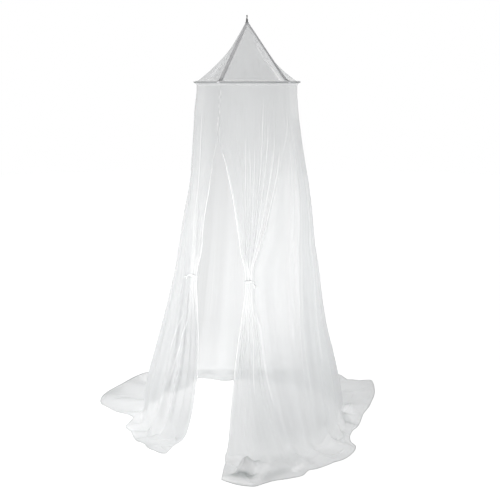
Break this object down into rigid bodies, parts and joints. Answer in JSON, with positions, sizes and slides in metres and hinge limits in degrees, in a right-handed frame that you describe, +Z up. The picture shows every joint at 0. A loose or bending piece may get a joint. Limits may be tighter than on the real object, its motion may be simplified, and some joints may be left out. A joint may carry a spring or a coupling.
{
  "type": "mosquito net canopy with hoop",
  "caption": "Sheer hanging mosquito net with a peaked crown over a round hoop, a front doorway tied back at both edges, and a long skirt that pools on the floor.",
  "frame": {"origin": "inside of the hook's top bend, where the canopy hangs", "axes": "+Z up along the hanging line, -Y towards the side with the doorway, +X to the right seen from there; the skirt's pool lies on the floor at z = -2.413 m"},
  "size_m": [1.8425, 1.6722, 2.4154],
  "materials": {
    "net": "sheer white even net",
    "webbing": "smooth grey tape",
    "tie_tape": "narrow white tape",
    "loop_tape": "black tape",
    "hoop_wire": "grey coated spring wire",
    "hook_wire": "dull steel wire"
  },
  "bodies": {
    "root": {"crown_back": "net", "crown_front": "net", "crown_left": "net", "crown_right": "net", "hanging_loop": "loop_tape", "hook": "hook_wire", "hoop": "hoop_wire", "hoop_casing": "net", "skirt_back": "net", "skirt_front": "net", "skirt_left": "net", "skirt_right": "net", "tape_back_left": "webbing", "tape_back_right": "webbing", "tape_front_left": "webbing", "tape_front_right": "webbing", "tie_left": "tie_tape", "tie_right": "tie_tape"}
  },
  "joints": []
}
